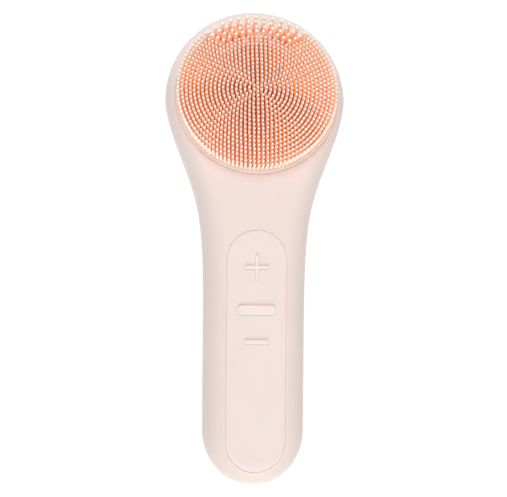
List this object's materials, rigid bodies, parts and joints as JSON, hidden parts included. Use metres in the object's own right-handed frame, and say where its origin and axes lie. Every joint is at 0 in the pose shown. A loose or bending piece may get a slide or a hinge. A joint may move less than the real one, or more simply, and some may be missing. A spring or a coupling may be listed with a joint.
{
  "type": "facial cleansing brush",
  "caption": "Handheld vibrating face brush: round tilted head of fine silicone bristles on a flat-backed handle with a soft key panel.",
  "frame": {"origin": "middle of the length and width, on the plane that the flat back rests on", "axes": "+Z out of the side with the bristles and keys, +Y from the handle end to the top of the head, +X to the right seen from the bristle side with the head up"},
  "size_m": [0.0624, 0.165, 0.0339],
  "materials": {
    "body_silicone": "soft matte pale blush silicone skin",
    "panel_silicone": "soft matte pale blush silicone, flat panel",
    "key_silicone": "soft matte silicone, slightly lighter raised symbols",
    "bristle_silicone": "soft translucent peach silicone bristles with pale tips",
    "dark_rubber": "matte grey sealing rubber",
    "inner_plastic": "matte off-white moulded plastic",
    "black_plastic": "matte black moulded plastic",
    "board_green": "satin green solder mask on glass fibre",
    "lamp_lens": "glossy milky lens",
    "cell_wrap": "glossy shrink film",
    "foam": "matte closed-cell foam",
    "motor_steel": "drawn steel",
    "screw_steel": "plated steel",
    "brass": "sintered brass",
    "contact_metal": "gold-plated contact",
    "lead_red": "red wire jacket",
    "lead_black": "black wire jacket"
  },
  "bodies": {
    "housing": {"front_cover": "body_silicone", "rear_cover": "body_silicone", "keypad_panel": "panel_silicone", "brush_pad": "bristle_silicone", "housing_seal": "dark_rubber", "pad_seal_ring": "dark_rubber", "pad_backing_plate": "inner_plastic", "board_carrier": "inner_plastic", "motor_bracket": "inner_plastic", "plus_switch": "black_plastic", "power_switch": "black_plastic", "minus_switch": "black_plastic", "main_board": "board_green", "contact_board": "board_green", "control_chip": "black_plastic", "charge_chip": "black_plastic", "status_led": "lamp_lens", "battery_cell": "cell_wrap", "battery_cushion": "foam", "motor_can": "motor_steel", "motor_bush": "brass", "carrier_screw_1": "screw_steel", "carrier_screw_2": "screw_steel", "carrier_screw_3": "screw_steel", "carrier_screw_4": "screw_steel", "housing_screw_1": "screw_steel", "housing_screw_2": "screw_steel", "housing_screw_3": "screw_steel", "bracket_screw_1": "screw_steel", "bracket_screw_2": "screw_steel", "charge_contact_left": "contact_metal", "charge_contact_right": "contact_metal", "motor_lead_red": "lead_red", "battery_lead_red": "lead_red", "charge_lead": "lead_red", "motor_lead_black": "lead_black", "battery_lead_black": "lead_black"},
    "plus_key_body": {"plus_key": "key_silicone", "plus_switch_plunger": "inner_plastic"},
    "power_key_body": {"power_key": "key_silicone", "power_switch_plunger": "inner_plastic"},
    "minus_key_body": {"minus_key": "key_silicone", "minus_switch_plunger": "inner_plastic"},
    "rotor": {"motor_shaft": "motor_steel", "eccentric_weight": "brass"}
  },
  "joints": [
    {"name": "plus_press", "type": "slide", "parent": "housing", "child": "plus_key_body", "axis": [0, 0, -1], "range_m": [0, 0.0005], "stiffness_N_per_m": 1000},
    {"name": "power_press", "type": "slide", "parent": "housing", "child": "power_key_body", "axis": [0, 0, -1], "range_m": [0, 0.0005], "stiffness_N_per_m": 1000},
    {"name": "minus_press", "type": "slide", "parent": "housing", "child": "minus_key_body", "axis": [0, 0, -1], "range_m": [0, 0.0005], "stiffness_N_per_m": 1000},
    {"name": "motor_spin", "type": "hinge", "parent": "housing", "child": "rotor", "pos_m": [0, 0.0345, 0.0096], "axis": [0, 1, 0], "continuous": true}
  ]
}
